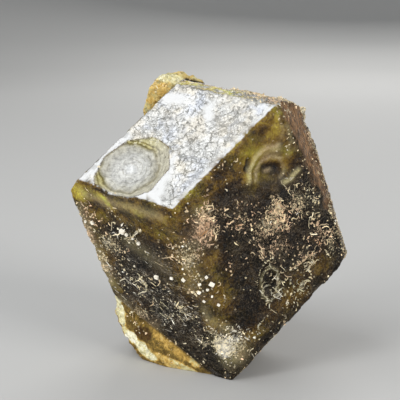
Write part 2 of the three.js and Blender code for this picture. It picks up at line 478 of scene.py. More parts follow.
def relax(mesh, rounds, share):
    # moves each point towards the middle of its neighbours, by a share that may change over the surface
    e = np.zeros(len(mesh.edges) * 2, np.int64)
    mesh.edges.foreach_get("vertices", e)
    a, b = e.reshape(-1, 2).T
    p = readPoints(mesh)
    count = np.maximum(np.bincount(a, minlength=len(p)) + np.bincount(b, minlength=len(p)), 1)
    for _ in range(rounds):
        for k in range(3):
            total = np.bincount(a, p[b, k], len(p)) + np.bincount(b, p[a, k], len(p))
            p[:, k] += share * (total / count - p[:, k])
    writePoints(mesh, p)


# where the growth hollows lie: (face, middle, half size, depth, soft rim)
hollows = {
    "top": ("top", (-7.6, 0.4), (7.2, 6.6), 6, (0.25, 0.45)),
    "ring": ("frontRight", (4.6, 11.8), (4.6, 3.6), 5, (0.3, 0.5)),
    "third": ("frontRight", (4.9, -5.6), (2.6, 3.6), 5, (0.3, 0.5)),
}


def hollowDepth(p, name):
    # depth in mm inside a growth hollow, 0 outside it
    face, place, size, depth, rim = hollows[name]
    inside = smooth(patchAmount(p, face, place, size, 0, depth), *rim)
    if name == "top":
        inside = inside * ((below(p, "frontLeft") > 0.3) & (below(p, "upperLeft") > 0.3))
    return np.maximum(below(p, face) * inside, 0)


def lumps(p):
    # the little grain on top and the rock at the foot stand outside the crystal's own faces
    outside = np.max([-below(p, name) for name in crystal["faces"]], axis=0)
    grain = smooth(outside, 0.3, 0.6) * (p[:, 2] > 9) * smooth(p[:, 0], 1.8, 0.8)
    side = smooth(-below(p, "left"), 0.35, 0.7) * (p[:, 0] < -4)
    rock = np.maximum(smooth(-below(p, "lowerLeft"), -0.05, 0.3), side) * (p[:, 2] < -1)
    return grain, rock


def crustCover(p, n):
    q = warped(p, 2.6, 0.9, 301)
    cover = largestPatch(q, crustPatches)
    front = smooth(-n[:, 1], 0.2, 0.5)
    cover = np.maximum(cover, (0.13 + 0.2 * fractalNoise(p, 3.5, 303, 3)) * front)
    rimTop = smooth(-below(q, "upperBack"), -1.6, -0.4) * smooth(q[:, 0], 1.0, 6.0)
    rimRight = smooth(-below(q, "upperRight"), -1.2, -0.3)
    cover = np.maximum(cover, 0.85 * rimTop)
    cover = np.maximum(cover, 0.85 * rimRight * (0.7 + 0.3 * fractalNoise(p, 3.0, 305)))
    cover *= 1 - 0.85 * nearFace(q, "rightShoulder") * smooth(below(q, "upperRight"), 0.2, 0.9)
    cover = np.maximum(cover, 0.85 * patchAmount(q, "frontRight", (8.2, 19.8), (1.7, 1.3)))
    hidden = smooth(n[:, 1], 0.0, 0.35)
    cover = np.maximum(cover, 0.85 * hidden * smooth(fractalNoise(p, 9.0, 311, 5, 0.6), -0.12, 0.3))
    under = smooth(n @ facing["lowerRight"], 0.85, 0.97)
    cover = np.maximum(cover, under * (0.3 + 0.45 * fractalNoise(p, 5.0, 321)))
    for face, place, size, turn, amount in barePatches.values():
        cover = cover * (1 - amount * patchAmount(q, face, place, size, turn))
    q = warped(p, 1.1, 0.22, 331)
    for face, places, width, height, amount, tone in strokes.values():
        cover = np.maximum(cover, amount * strokeAmount(q, face, places, width))
    onTop = nearFace(p, "top", 0.05) * smooth(n @ facing["top"], 0.6, 0.8)
    return np.clip(cover, 0, 1) * (1 - onTop)


def striations(p):
    turn = math.radians(body["striationTurn"])
    u, v = onFace(warped(p, 5.0, 0.5, 401), "frontLeft")
    across = v * math.cos(turn) - u * math.sin(turn)
    along = u * math.cos(turn) + v * math.sin(turn)
    lines = softNoise(np.stack([along / 10, across, across * 0], 1), 0.55, 402)
    lines += 0.7 * softNoise(np.stack([along / 6, across, across * 0], 1), 0.3, 403)
    return lines / 1.7


def edgeDistance(p):
    depths = np.sort([below(p, name) for name in reach], axis=0)
    return depths[1]


def shapeBody(mesh):
    p, n = readPoints(mesh), readNormals(mesh)
    onTop = smooth(n @ facing["top"], 0.88, 0.98)
    onLeft = smooth(n @ facing["frontLeft"], 0.85, 0.97)
    crust = crustCover(p, n)
    grain, rock = lumps(p)
    topHollow = hollowDepth(p, "top")
    ground = smooth(p[:, 2] + reach["base"], 0.1, 1.0)
    lift = body["unevenness"] * fractalNoise(p, 5.0, 2) * (1 - 0.95 * onTop)
    near = cellNoise(warped(p, 0.8, 0.3, 30), 0.62, 31)
    grit = (0.75 - near) * 1.2 + 0.5 * fractalNoise(p, 0.7, 33, 3)
    lift += crust * body["crustHeight"] * (0.25 + grit * 0.8)
    near = cellNoise(warped(p, 1.6, 0.5, 40), 1.3, 41)
    rough = 0.45 * (0.7 - near) + 0.3 * fractalNoise(p, 1.4, 42) + 0.14 * grit
    smoothStrip = patchAmount(p, "frontLeft", (-1.0, -14.4), (5.0, 1.2), -28, 4.0)   # on the rock
    lift += rock * rough * (1 - 0.8 * smoothStrip) + grain * 0.6 * rough
    lift += onLeft * (1 - 0.6 * crust) * body["striationDepth"] * striations(p)
    lift += onTop * 0.012 * fractalNoise(p, 0.9, 61, 2)
    rest = 1 - np.clip(onTop + onLeft + crust, 0, 1)
    ridged = 1 - np.abs(fractalNoise(p, 1.6, 71, 4)) * 3
    lift += rest * 0.11 * ridged
    q = warped(p, 1.1, 0.22, 331)
    for face, places, width, height, amount, tone in strokes.values():
        lift += height * 0.7 * strokeAmount(q, face, places, width)
    q = warped(p, 2.0, 0.5, 81)
    beads = smooth(-below(q, "upperBack"), -1.0, 0.0) * smooth(q[:, 0], 0.0, 5.0) * smooth(n[:, 2], -0.2, 0.3)
    lift += 0.55 * beads * np.maximum(fractalNoise(p, 1.6, 83, 3) + 0.15, 0)
    worn = np.exp(-(np.maximum(edgeDistance(p), 0) / 0.9) ** 2)
    worn = worn * smooth(below(p, "top"), 1.0, 2.5) * (1 - rock)
    lift -= body["edgeWear"] * worn * np.maximum(fractalNoise(p, 2.4, 91, 4) + 0.1, 0)
    terraces = np.sin(topHollow * 30) * smooth(topHollow, 0.5, 0.8)
    lift += 0.012 * terraces
    writePoints(mesh, p + n * (lift * ground)[:, None])


def triangleCount(mesh):
    return sum(len(q.vertices) - 2 for q in mesh.polygons)


def decimateTo(obj, triangles):
    count = triangleCount(obj.data)
    if count > triangles:
        decimate = obj.modifiers.new("fewer", "DECIMATE")
        decimate.ratio = triangles / count
        applyModifiers(obj)


def addMask(mesh, name, values):
    layer = mesh.attributes.new(name, "FLOAT", "POINT")
    layer.data.foreach_set("value", values.astype(np.float32))


def crustTone(p):
    q = warped(p, 3.0, 1.0, 501)
    total, weight = 0.4 * 0.15, np.full(len(p), 0.15)
    for face, place, size, turn, amount, tone in crustPatches.values():
        share = amount * patchAmount(q, face, place, size, turn)
        total = total + share * tone
        weight = weight + share
    for face, places, width, height, amount, tone in strokes.values():
        share = 2 * amount * strokeAmount(p, face, places, width * 1.3)
        total = total + share * tone
        weight = weight + share
    return np.clip(total / weight + 0.3 * fractalNoise(p, 3.0, 503), 0, 1)


def crustGreen(p):
    return largestPatch(warped(p, 2.4, 0.8, 521), greenPatches)


def rockTone(p):
    # zones laid one over another, over olive brown at the foot and pale olive on the grain
    q = warped(p, 1.5, 0.5, 511)
    tone = np.where(p[:, 2] > 0, 0.62, 0.24)
    for face, place, size, turn, amount, zoneTone in rockPatches.values():
        share = amount * smooth(patchAmount(q, face, place, size, turn, 9.0), 0.25, 0.5)
        tone += share * (zoneTone - tone)
    return np.clip(tone, 0, 1)


def triangleAmount(p, face, corners, soft):
    # 1 inside a triangle drawn on a face, given anticlockwise
    u, v = onFace(p, face)
    inside = np.full(len(p), 9.0)
    for (a, b), (c, d) in zip(corners, corners[1:] + corners[:1]):
        inside = np.minimum(inside, ((c - a) * (v - b) - (d - b) * (u - a)) / math.hypot(c - a, d - b))
    return smooth(inside, -soft, soft)


topRings = {"middle": (-7.4, 0.4), "halfSize": (5.7, 5.1), "sideTurns": (0.3, 1.35, 2.4)}


def hollowRing(p):
    # six-sided distance from the middle of the top hollow: 0 in the middle, 1 at its rim
    u, v = onFace(warped(p, 1.5, 0.2, 641), "top")
    u = (u - topRings["middle"][0]) / topRings["halfSize"][0]
    v = (v - topRings["middle"][1]) / topRings["halfSize"][1]
    sides = [np.abs(u * math.cos(a) + v * math.sin(a)) for a in topRings["sideTurns"]]
    return 0.55 * np.max(sides, axis=0) * 1.05 + 0.45 * np.hypot(u, v), np.arctan2(v, u)


def paintedTopGlare(p):
    # where the top face is smooth: painted glare, an even pale colour standing for the overhead lamp's
    # reflection
    plainGlare = largestPatch(p, plainGlarePatches)
    plainGlare = np.maximum(plainGlare, 0.62 * smooth(below(p, "frontRight"), 0.9, 0.25))
    plainGlare = smooth(plainGlare + 0.25 * fractalNoise(p, 1.4, 621), 0.35, 0.5)
    return np.maximum(plainGlare, triangleAmount(p, "top", plainGlareTriangle, 0.2))


def paintedThroughLightAmount(p, n):
    # painted through-light: how much light would get through the glass near its edges and where it is clear,
    # laid into its colour
    q = warped(p, 2.2, 1.0, 601)
    paintedThroughLight = largestPatch(q, paintedThroughLightPatches)
    underTop = np.exp(-(np.maximum(below(q, "top"), 0) / 1.3) ** 2)
    paintedThroughLight = np.maximum(paintedThroughLight, 0.56 * underTop * (0.8 + 0.5 * fractalNoise(p, 2.0, 605)))
    paintedThroughLight = np.maximum(paintedThroughLight, 0.8 * nearFace(q, "topBack") * smooth(p[:, 0], 13.0, 4.0))
    back = smooth(n[:, 1], 0.0, 0.4)
    paintedThroughLight = np.maximum(paintedThroughLight, back * (0.36 + 0.3 * fractalNoise(p, 7.0, 611, 3)))
    nearEdge = np.exp(-(np.maximum(edgeDistance(q), 0) / 1.5) ** 2)
    paintedThroughLight = np.maximum(paintedThroughLight, 0.62 * back * nearEdge)
    paintedThroughLight = np.maximum(paintedThroughLight, 0.3 * smooth(n @ facing["lowerRight"], 0.8, 0.95))
    # raised strokes get a little more painted through-light, grooves less, which paints shade into them
    for face, places, width, height, amount, tone in strokes.values():
        paintedThroughLight += (0.06 if height > 0 else -0.4) * strokeAmount(p, face, places, width)
    return np.clip(paintedThroughLight, 0, 1)


def paintMasks(mesh):
    p, n = readPoints(mesh), readNormals(mesh)
    q = warped(p, 2.2, 1.0, 601)
    ragged = 0.09 + 0.22 * fractalNoise(p, 1.1, 631, 4, 0.65)
    onTop = smooth(n @ facing["top"], 0.86, 0.93) * (below(p, "top") < 2.4)
    onTop *= smooth(np.minimum(below(p, "frontLeft"), below(p, "frontRight")), ragged, ragged + 0.08)
    grain, rock = lumps(p)
    topHollow = hollowDepth(p, "top")
    onTop = np.maximum(onTop, smooth(topHollow, 0.05, 0.15))
    ring, angle = hollowRing(p)
    farSide = smooth(np.cos(angle - 2.5), -0.45, 0.35)
    streaks = nearFace(p, "frontLeft", 0.6) * patchAmount(q, "frontLeft", (-1.0, -5.0), (9.0, 7.0), -28)
    veil = np.zeros(len(p))
    r = warped(p, 1.4, 0.35, 651)
    for face, places, width, amount in veils.values():
        veil = np.maximum(veil, amount * strokeAmount(r, face, places, width))
    shoulder = nearFace(q, "rightShoulder", 1.1) * smooth(n @ facing["rightShoulder"], 0.7, 0.9)
    addMask(mesh, "paintedThroughLight", paintedThroughLightAmount(p, n))
    addMask(mesh, "crust", crustCover(p, n))
    addMask(mesh, "crustTone", crustTone(p))
    addMask(mesh, "crustGreen", crustGreen(p))
    addMask(mesh, "frost", onTop)
    addMask(mesh, "plainGlare", paintedTopGlare(p))
    addMask(mesh, "hollow", smooth(topHollow, 0.03, 0.16))
    addMask(mesh, "hollowRing", ring)
    addMask(mesh, "hollowFar", farSide)
    addMask(mesh, "streaks", streaks)
    addMask(mesh, "grain", grain)
    addMask(mesh, "rock", rock)
    addMask(mesh, "rockTone", rockTone(p))
    addMask(mesh, "shoulder", shoulder)
    addMask(mesh, "veil", veil)
    addMask(mesh, "clear", patchAmount(q, "frontRight", (3.6, 13.4), (6.0, 5.0)))


def makeBody():
    obj = remeshedSolid()
    print("remeshed:", len(obj.data.vertices), "points")
    snapToSolid(obj.data)
    relax(obj.data, body["edgeRounds"], 0.5)
    p = readPoints(obj.data)
    inHollow = smooth(np.max([hollowDepth(p, name) for name in hollows], axis=0), 0.0, 0.5)
    tip = patchAmount(p, "frontRight", (-2.2, -20.0), (2.6, 2.2))
    relax(obj.data, body["hollowRounds"], 0.5 * np.maximum(inHollow, tip))
    shapeBody(obj.data)
    decimateTo(obj, body["triangles"])
    paintMasks(obj.data)
    obj.data.polygons.foreach_set("use_smooth", np.ones(len(obj.data.polygons), bool))
    print("body:", triangleCount(obj.data), "triangles")
    return obj


garnet = makeBody()


# crust that stands off the surface: curled ribbons, small plates, needles and grains
curled = {
    "perMm2": 15.0,
    "length": (0.6, 1.9),       # mm
    "halfWidth": (0.05, 0.125),
    "thickness": 0.06,
    "curl": 2.6,                # most turn along a ribbon, radians
    "kink": 0.6,                # random turn at each segment
    "segments": 5,
}
plates = {
    "perMm2": 4.2,
    "radius": (0.1, 0.38),
    "thickness": 0.07,
    "sides": 5,
}
needles = {
    "perMm2": 3.6,
    "inThirdRing": 2.2,         # per square mm, in the tangle there
    "length": (0.5, 2.2),
    "halfWidth": (0.024, 0.055),
    "thickness": 0.03,
    "kink": 0.1,
    "segments": 3,
}


def surfaceOf(mesh):
    # middle, normal and area of each face of the finished body, in mm
    count = len(mesh.polygons)
    middle, normal, area = np.zeros(count * 3), np.zeros(count * 3), np.zeros(count)
    mesh.polygons.foreach_get("center", middle)
    mesh.polygons.foreach_get("normal", normal)
    mesh.polygons.foreach_get("area", area)
    return middle.reshape(-1, 3) / mm - crystal["centre"], normal.reshape(-1, 3), area / mm ** 2


surface = surfaceOf(garnet.data)
surfaceCover = crustCover(surface[0], surface[1])
surfaceTone = crustTone(surface[0])
surfaceGreen = crustGreen(surface[0])
isFront = (surface[1][:, 1] < 0).astype(float)
onTwoFronts = [nearFace(surface[0], name, 0.8) for name in ("frontLeft", "frontRight")]
surfaceSide = 1 - np.maximum(*onTwoFronts)


def scatter(density, rng):
    # faces picked with the given number per square mm
    expected = density * surface[2] * smooth(surface[0][:, 2] + reach["base"], 0.4, 1.4)
    return np.nonzero(rng.random(len(expected)) < expected)[0]


def tangents(n, rng):
    # an along and an across direction in the surface, turned at random
    helper = np.where(np.abs(n[:, 2:3]) < 0.8, (0.0, 0.0, 1.0), (1.0, 0.0, 0.0))
    a = np.cross(helper, n)
    a /= np.linalg.norm(a, axis=1, keepdims=True)
    b = np.cross(n, a)
    turn = rng.random(len(n)) * 2 * math.pi
    c, s = np.cos(turn)[:, None], np.sin(turn)[:, None]
    return a * c + b * s, b * c - a * s


def ribbonMesh(name, start, normal, heading, settings, rng, curl, lift, size=1.0):
    # flat tapered strips that curl in the surface and lean off it
    count, steps = len(start), settings["segments"]
    length = rng.uniform(*settings["length"], count) * rng.uniform(0.4, 1.0, count) * size
    half = rng.uniform(*settings["halfWidth"], count)
    side = np.cross(normal, heading)
    roll = rng.uniform(-0.9, 0.9, count)
    rings = []
    x, y = np.zeros(count), np.zeros(count)
    angle = -0.5 * curl
    for k in range(steps + 1):
        t = k / steps
        angle = angle + curl / steps + rng.normal(0, settings["kink"], count)
        if k:
            x = x + np.cos(angle) * length / steps
            y = y + np.sin(angle) * length / steps
        z = lift * length * t * t - 0.02
        taper = 0.35 + 0.65 * math.sin(math.pi * (0.1 + 0.8 * t))
        wobble = rng.uniform(0.6, 1.35, count)
        middle = start + heading * x[:, None] + side * y[:, None] + normal * z[:, None]
        forward = heading * np.cos(angle)[:, None] + side * np.sin(angle)[:, None]
        across = np.cross(normal, forward)
        leaning = across * np.cos(roll)[:, None] + normal * np.sin(roll)[:, None]
        upright = np.cross(forward, leaning)
        w = (half * taper * wobble)[:, None]
        h = settings["thickness"] / 2
        wide, tall = leaning * w, upright * h
        corners = (middle + wide + tall, middle - wide + tall, middle - wide - tall, middle + wide - tall)
        rings.append(np.stack(corners, axis=1))
    points = np.stack(rings, axis=1).reshape(-1, 3)
    faces = []
    for ring in range(steps):
        for k in range(4):
            m = (k + 1) % 4
            faces.append((ring * 4 + k, ring * 4 + m, ring * 4 + 4 + m, ring * 4 + 4 + k))
    faces.append((3, 2, 1, 0))
    last = steps * 4
    faces.append((last, last + 1, last + 2, last + 3))
    return looseMesh(name, points, faces, count, (steps + 1) * 4)


def looseMesh(name, points, faces, count, perPiece):
    # one mesh of many small separate pieces with the same layout
    loops = [tuple(k + piece * perPiece for k in face) for piece in range(count) for face in faces]
    mesh = bpy.data.meshes.new(name)
    mesh.from_pydata(((points + crystal["centre"]) * mm).tolist(), [], loops)
    return newObject(name, mesh)


def finishCrust(obj, picked, perPiece, rng, paler=0.0):
    tone = np.clip(surfaceTone[picked] - paler + rng.normal(0, 0.13, len(picked)), 0, 1)
    shade = np.clip(rng.normal(0.8 + paler, 0.3, len(picked)), 0.2, 1.35)
    addMask(obj.data, "crustTone", np.repeat(tone, perPiece))
    addMask(obj.data, "crustGreen", np.repeat(surfaceGreen[picked], perPiece))
    addMask(obj.data, "shade", np.repeat(shade, perPiece))
    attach(obj, "root")
    print(obj.name + ":", len(picked), "pieces,", triangleCount(obj.data), "triangles")
    return obj


def makeCurled(name, seed, half):
    rng = np.random.default_rng(seed)
    p, n = surface[:2]
    clumps = smooth(fractalNoise(p, 1.6, 701, 3), -0.25, 0.3)
    density = curled["perMm2"] * surfaceCover ** 1.75 * clumps * half
    density = density * (1 - 0.5 * nearFace(p, "frontLeft")) * (0.7 + 0.45 * isFront)
    picked = scatter(density, rng)
    along = tangents(n[picked], rng)[0]
    curl = rng.uniform(-1, 1, len(picked)) * curled["curl"]
    lift = np.abs(rng.normal(0, 0.28, len(picked))) * (1 - 0.85 * surfaceSide[picked])
    lift *= smooth(edgeDistance(p[picked]), 0.2, 1.4)
    size = (1 - 0.4 * surfaceSide[picked]) * (0.45 + 0.55 * smooth(edgeDistance(p[picked]), 0.2, 1.5))
    obj = ribbonMesh(name, p[picked], n[picked], along, curled, rng, curl, lift, size)
    return finishCrust(obj, picked, (curled["segments"] + 1) * 4, rng)


def makePlates(name, seed, half):
    rng = np.random.default_rng(seed)
    p, n = surface[:2]
    clumps = smooth(fractalNoise(p, 1.2, 711, 3), -0.2, 0.35)
    density = plates["perMm2"] * surfaceCover ** 1.5 * clumps * half
    picked = scatter(density, rng)
    count, sides = len(picked), plates["sides"]
    along, across = tangents(n[picked], rng)
    tilt = rng.normal(0, 0.3, (count, 2))
    up = n[picked] + along * tilt[:, :1] + across * tilt[:, 1:]
    up /= np.linalg.norm(up, axis=1, keepdims=True)
    a = np.cross(across, up)
    b = np.cross(up, a)
    radius = rng.uniform(*plates["radius"], count) * rng.uniform(0.5, 1.0, count)
    stretch = rng.uniform(0.55, 1.0, count)
    rings = []
    for level, size in ((-0.6, 1.0), (0.6, 0.8)):
        for k in range(sides):
            angle = 2 * math.pi * (k + 0.35 * math.sin(k * 2.4)) / sides
            r = (radius * size)[:, None]
            spoke = a * math.cos(angle) + b * (math.sin(angle) * stretch)[:, None]
            rings.append(p[picked] + spoke * r + up * plates["thickness"] * level)
    points = np.stack(rings, axis=1).reshape(-1, 3)
    faces = [(k, (k + 1) % sides, sides + (k + 1) % sides, sides + k) for k in range(sides)]
    faces.append(tuple(reversed(range(sides))))
    faces.append(tuple(range(sides, 2 * sides)))
    obj = looseMesh(name, points, faces, count, 2 * sides)
    return finishCrust(obj, picked, 2 * sides, rng)


def makeNeedles(name, seed):
    # thin pale lines along the striations of the front left face, and a tangle of them in the third ring
    rng = np.random.default_rng(seed)
    p, n = surface[:2]
    onLeft = nearFace(p, "frontLeft")
    band = patchAmount(p, "frontLeft", (-1.5, -7.0), (8.0, 3.6), -28)
    band = np.maximum(band, 0.5 * patchAmount(p, "frontLeft", (-3, 0), (6, 3.5), -28)) * onLeft
    band *= 1 - 0.9 * patchAmount(p, "frontLeft", (1.0, -12.4), (6.0, 2.4), -30)
    tangle = patchAmount(p, "frontRight", (4.8, -6.5), (1.9, 3.0))
    density = needles["perMm2"] * band * smooth(fractalNoise(p, 2.0, 721, 3), -0.05, 0.25)
    picked = scatter(density + needles["inThirdRing"] * tangle, rng)
    along, up = faceAxes("frontLeft")[:2]
    turn = math.radians(body["striationTurn"])
    line = along * math.cos(turn) + up * math.sin(turn)
    spread = np.where(tangle[picked] > 0.2, 2.0, 0.16) * rng.normal(0, 1, len(picked))
    heading = line + np.cross(n[picked], line) * spread[:, None]
    heading -= n[picked] * np.sum(heading * n[picked], axis=1, keepdims=True)
    heading /= np.linalg.norm(heading, axis=1, keepdims=True)
    curl = rng.normal(0, 0.4, len(picked))
    obj = ribbonMesh(name, p[picked], n[picked], heading, needles, rng, curl, np.zeros(len(picked)))
    return finishCrust(obj, picked, (needles["segments"] + 1) * 4, rng, 0.2)


# stray white grains: (face, place, size in mm)
whiteGrains = {
    "largest": ("frontRight", (-5.3, -5.2), 0.85),
    "second": ("frontRight", (-6.1, -4.1), 0.5),
    "third": ("frontRight", (-7.4, -5.3), 0.5),
    "fourth": ("frontRight", (-7.5, -6.7), 0.6),
    "fifth": ("frontRight", (-5.9, -6.1), 0.45),
    "sixth": ("frontRight", (-6.8, -7.9), 0.45),
    "seventh": ("frontRight", (-4.1, -8.7), 0.55),
    "eighth": ("frontRight", (-5.1, -7.2), 0.4),
    "nextToDark": ("frontLeft", (-0.7, -1.2), 0.8),
    "besideIt": ("frontLeft", (2.1, -0.9), 0.6),
    "pale": ("frontLeft", (4.3, -0.6), 0.7),
    "high": ("frontLeft", (4.6, 1.4), 0.4),
    "bigFlake": ("frontLeft", (-5.3, 6.3), 0.95),
    "bigFlakeSide": ("frontLeft", (-4.7, 5.7), 0.6),
    "flakeBelow": ("frontLeft", (-2.6, 4.6), 0.6),
    "flakeLeft": ("frontLeft", (-11.0, 7.0), 0.7),
    "flakeEdge": ("frontLeft", (-12.4, 6.9), 0.5),
}


def makeWhiteGrains():
    # rough little cubes with cut corners
    rng = np.random.default_rng(31)
    points = []
    for face, place, size in whiteGrains.values():
        along, up, n = faceAxes(face)
        spot = facePoint(face, place)
        nearest = int(np.argmin(np.sum((surface[0] - spot) ** 2, axis=1)))
        middle = surface[0][nearest] + n * size * 0.12
        spin = Matrix.Rotation(rng.uniform(0, 6.28), 3, Vector(n))
        tilt = Matrix.Rotation(rng.uniform(-0.3, 0.3), 3, Vector(along))
        axes = np.array(spin @ tilt) @ np.stack([along, up, n], axis=1)
        corners = []
        for x in (-1, 1):
            for y in (-1, 1):
                for z in (-1, 1):
                    for cut in range(3):
                        corner = np.array((x, y, z), float)
                        corner[cut] *= rng.uniform(0.25, 0.85)
                        corners.append(corner * (0.42, 0.35, 0.27) * size)
        points.append(middle + np.array(corners) @ axes.T)
    mesh = bpy.data.meshes.new("whiteGrains")
    obj = newObject("whiteGrains", mesh)
    made = bmesh.new()
    for group in points:
        start = [made.verts.new((q + crystal["centre"]) * mm) for q in group]
        bmesh.ops.convex_hull(made, input=start)
    made.to_mesh(mesh)
    made.free()
    addMask(mesh, "crustTone", np.full(len(mesh.vertices), 0.08))
    addMask(mesh, "crustGreen", np.zeros(len(mesh.vertices)))
    addMask(mesh, "shade", np.full(len(mesh.vertices), 1.0))
    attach(obj, "root")
    return obj


crustPieces = [
    makeCurled("curledCrustFront", 11, isFront),
    makeCurled("curledCrustBack", 12, 1 - isFront),
    makePlates("crustPlatesFront", 13, isFront),
    makePlates("crustPlatesBack", 14, 1 - isFront),
    makeNeedles("paleNeedles", 15),
    makeWhiteGrains(),
]


# shader helpers
def node(tree, kind, **settings):
    made = tree.nodes.new(kind)
    for name, value in settings.items():
        setattr(made, name, value)
    return made


def feed(tree, socket, value):
    if isinstance(value, tuple):
        socket.default_value = (*value, 1.0) if len(value) == 3 and socket.type == "RGBA" else value
    elif isinstance(value, (int, float)):
        socket.default_value = value
    elif value is not None:
        tree.links.new(value, socket)


def mask(tree, name):
    return node(tree, "ShaderNodeAttribute", attribute_name=name, label=name).outputs["Fac"]


def calc(tree, operation, a, b=None, c=None, clamp=False):
    made = node(tree, "ShaderNodeMath", operation=operation, use_clamp=clamp)
    for socket, value in zip(made.inputs, (a, b, c)):
        feed(tree, socket, value)
    return made.outputs[0]


def mixColour(tree, factor, a, b, blend="MIX"):
    made = node(tree, "ShaderNodeMix", data_type="RGBA", blend_type=blend)
    for index, value in ((0, factor), (6, a), (7, b)):
        feed(tree, made.inputs[index], value)
    return made.outputs[2]


def ramp(tree, factor, stops):
    made = node(tree, "ShaderNodeValToRGB")
    elements = made.color_ramp.elements
    while len(elements) < len(stops):
        elements.new(0.5)
    for element, (place, value) in zip(elements, stops):
        element.position = place
        element.color = (*value, 1) if isinstance(value, tuple) else (value, value, value, 1)
    tree.links.new(factor, made.inputs[0])
    return made.outputs[0]


def over(tree, value, threshold, gain):
    # soft step: 0 below the threshold, 1 above it
    return calc(tree, "MULTIPLY_ADD", calc(tree, "SUBTRACT", value, threshold), gain, 0.5, clamp=True)


def millimetres(tree):
    coordinates = node(tree, "ShaderNodeTexCoord")
    scale = node(tree, "ShaderNodeVectorMath", operation="SCALE")
    scale.inputs["Scale"].default_value = 1000.0
    tree.links.new(coordinates.outputs["Object"], scale.inputs[0])
    return scale.outputs[0]


def noise(tree, vector, scale, detail=4.0, roughness=0.55, distortion=0.0, colour=False):
    made = node(tree, "ShaderNodeTexNoise")
    settings = {"Scale": scale, "Detail": detail, "Roughness": roughness, "Distortion": distortion}
    for name, value in settings.items():
        made.inputs[name].default_value = value
    tree.links.new(vector, made.inputs["Vector"])
    return made.outputs["Color" if colour else "Fac"]


def bent(tree, vector, scale, amount):
    # the position pushed about by noise, so that patterns lose their regular shape
    push = noise(tree, vector, scale, 2.0, colour=True)
    centred = node(tree, "ShaderNodeVectorMath", operation="SUBTRACT")
    centred.inputs[1].default_value = (0.5, 0.5, 0.5)
    tree.links.new(push, centred.inputs[0])
    moved = node(tree, "ShaderNodeVectorMath", operation="MULTIPLY_ADD")
    moved.inputs[1].default_value = (amount, amount, amount)
    tree.links.new(centred.outputs[0], moved.inputs[0])
    tree.links.new(vector, moved.inputs[2])
    return moved.outputs[0]


def cells(tree, vector, scale, metric="EUCLIDEAN", feature="F1"):
    made = node(tree, "ShaderNodeTexVoronoi", feature=feature)
    if feature == "F1":
        made.distance = metric
    made.inputs["Scale"].default_value = scale
    tree.links.new(vector, made.inputs["Vector"])
    return made


def chips(tree, vector, scale, radius, cover, metric):
    # scattered angular chips, more of them where the cover is high
    pattern = cells(tree, vector, scale, metric)
    part = node(tree, "ShaderNodeSeparateColor")
    tree.links.new(pattern.outputs["Color"], part.inputs[0])
    kept = over(tree, cover, part.outputs[0], 30)
    inside = over(tree, radius, pattern.outputs["Distance"], 14)
    return calc(tree, "MULTIPLY", kept, inside), part.outputs[1]


def newMaterial(name):
    material = bpy.data.materials.new(name)
    material.use_nodes = True
    tree = material.node_tree
    tree.nodes.clear()
    output = node(tree, "ShaderNodeOutputMaterial")
    shader = node(tree, "ShaderNodeBsdfPrincipled")
    tree.links.new(shader.outputs[0], output.inputs[0])
    return material, tree, shader


def addBump(tree, shader, height, distance):
    bump = node(tree, "ShaderNodeBump")
    bump.inputs["Distance"].default_value = distance
    bump.inputs["Strength"].default_value = 1.0
    tree.links.new(height, bump.inputs["Height"])
    tree.links.new(bump.outputs[0], shader.inputs["Normal"])


def newGroup(name, inputs, outputs):
    group = bpy.data.node_groups.new(name, "ShaderNodeTree")
    for label, kind in inputs:
        group.interface.new_socket(label, in_out="INPUT", socket_type="NodeSocket" + kind)
    for label, kind in outputs:
        group.interface.new_socket(label, in_out="OUTPUT", socket_type="NodeSocket" + kind)
    return group, node(group, "NodeGroupInput").outputs, node(group, "NodeGroupOutput").inputs


# group: pale crust that breaks up into chips, worm-like threads and powder
def crustPatternGroup():
    group, entry, leave = newGroup(
        "crustPattern",
        [("Position", "Vector"), ("Cover", "Float")],
        [("Mask", "Float"), ("Height", "Float"), ("Tone", "Float")],
    )
    position, cover = entry["Position"], entry["Cover"]
    place = bent(group, position, 1.6, 0.55)
    share = calc(group, "MULTIPLY", calc(group, "POWER", cover, 1.4), 0.8)
    large, toneLarge = chips(group, bent(group, place, 2.6, 0.3), 1.4, 0.33, share, "MANHATTAN")
    small, toneSmall = chips(group, bent(group, place, 5.0, 0.15), 2.7, 0.4, share, "EUCLIDEAN")
    wander = noise(group, bent(group, position, 0.9, 0.9), 1.5, 1.5, 0.5)
    line = calc(group, "ABSOLUTE", calc(group, "SUBTRACT", wander, 0.5))
    breaks = over(group, noise(group, position, 1.1, 2.0), 0.5, 6)
    width = calc(group, "MULTIPLY", calc(group, "MULTIPLY", cover, breaks), 0.05)
    threads = over(group, calc(group, "SUBTRACT", width, 0.01), line, 70)
    powder = noise(group, position, 3.4, 5.0, 0.75)
    level = calc(group, "MULTIPLY_ADD", cover, -0.38, 0.77)
    dusting = over(group, powder, level, 16)
    together = calc(group, "MAXIMUM", calc(group, "MAXIMUM", large, small), threads)
    together = calc(group, "MAXIMUM", together, dusting)
    grain = noise(group, position, 7.0, 3.0, 0.6)
    height = calc(group, "MULTIPLY", together, calc(group, "ADD", grain, 0.5))
    tone = calc(group, "ADD", toneLarge, toneSmall)
    tone = calc(group, "MULTIPLY_ADD", tone, 0.25, calc(group, "MULTIPLY", grain, 0.5))
    broad = calc(group, "SUBTRACT", noise(group, place, 1.3, 4.0, 0.7), 0.5)
    tone = calc(group, "MULTIPLY_ADD", broad, 1.1, tone)
    group.links.new(together, leave["Mask"])
    group.links.new(height, leave["Height"])
    group.links.new(tone, leave["Tone"])
    return group


